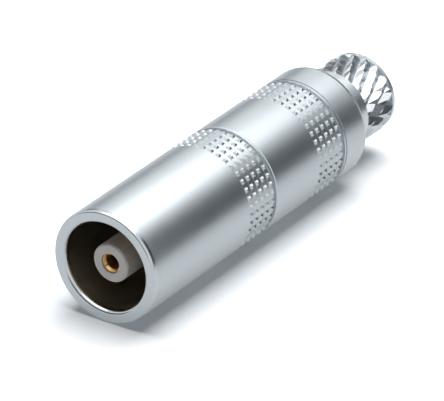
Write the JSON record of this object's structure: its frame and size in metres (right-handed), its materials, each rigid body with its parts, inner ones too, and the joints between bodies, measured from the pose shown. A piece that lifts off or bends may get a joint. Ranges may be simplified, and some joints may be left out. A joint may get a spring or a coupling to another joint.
{
  "type": "circular connector socket",
  "caption": "Slim round coaxial cable socket: plated shell and nut with knurled bands, white nose with a gilt socket contact in the mouth, diamond-knurled crimp stub.",
  "frame": {"origin": "centre of the plain end face of the crimp stub, on the axis, where the cable goes in", "axes": "+Z along the axis, from the cable end out of the mouth; the part is round, so X and Y only set the turn of the knurls, and X runs along the split between the two half shells"},
  "size_m": [0.0064, 0.0064, 0.0245],
  "materials": {
    "satin_chrome": "satin",
    "bright_nickel": "gloss",
    "nickelled_bronze": "satin",
    "white_insulator": "matte",
    "gilt_brass": "gloss"
  },
  "bodies": {
    "root": {"front_shell": "satin_chrome", "rear_nut": "satin_chrome", "crimp_stub": "bright_nickel", "earthing_crown": "nickelled_bronze", "retaining_ring": "bright_nickel", "front_insulator": "white_insulator", "rear_insulator": "white_insulator", "female_contact": "gilt_brass", "carrier_half_a": "bright_nickel", "carrier_half_b": "bright_nickel"}
  },
  "joints": []
}
